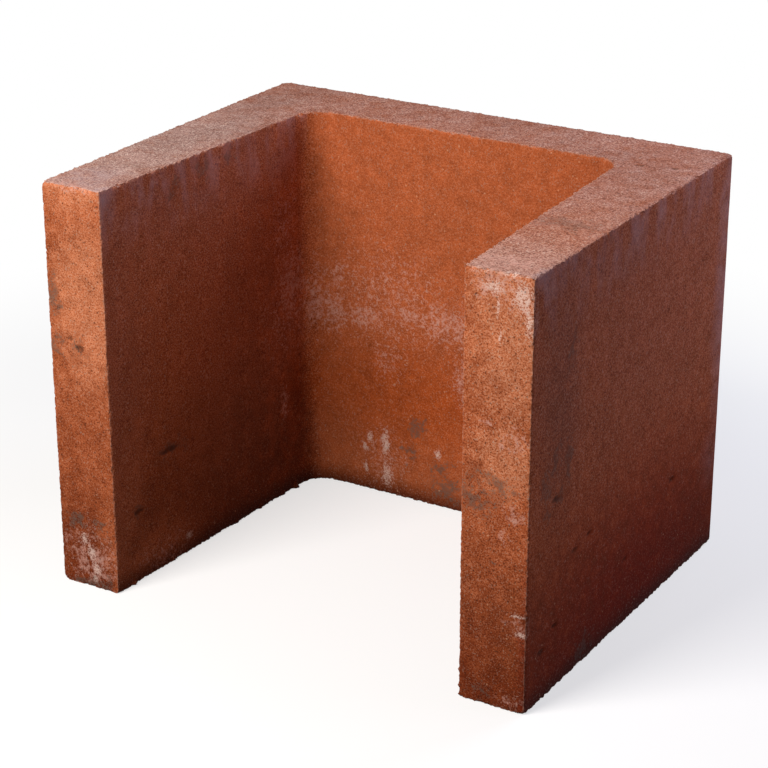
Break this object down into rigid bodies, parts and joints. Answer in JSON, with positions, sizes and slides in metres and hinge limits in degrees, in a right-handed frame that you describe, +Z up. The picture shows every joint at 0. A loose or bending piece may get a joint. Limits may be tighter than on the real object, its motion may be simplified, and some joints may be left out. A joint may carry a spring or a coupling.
{
  "type": "u-shaped concrete retaining block",
  "caption": "U-shaped dry-cast concrete block in brick red, a back wall with legs that thin towards their ends, for edging slopes, steps, planters and low retaining walls.",
  "frame": {"origin": "middle of the rectangle that the base stands on, at floor level", "axes": "+Z up, +X along the width to the right leg, +Y towards the outside of the back wall, so the hollow opens to -Y"},
  "size_m": [0.5, 0.4, 0.4],
  "materials": {
    "red_concrete": "matte"
  },
  "bodies": {
    "root": {"u_block": "red_concrete"}
  },
  "joints": []
}
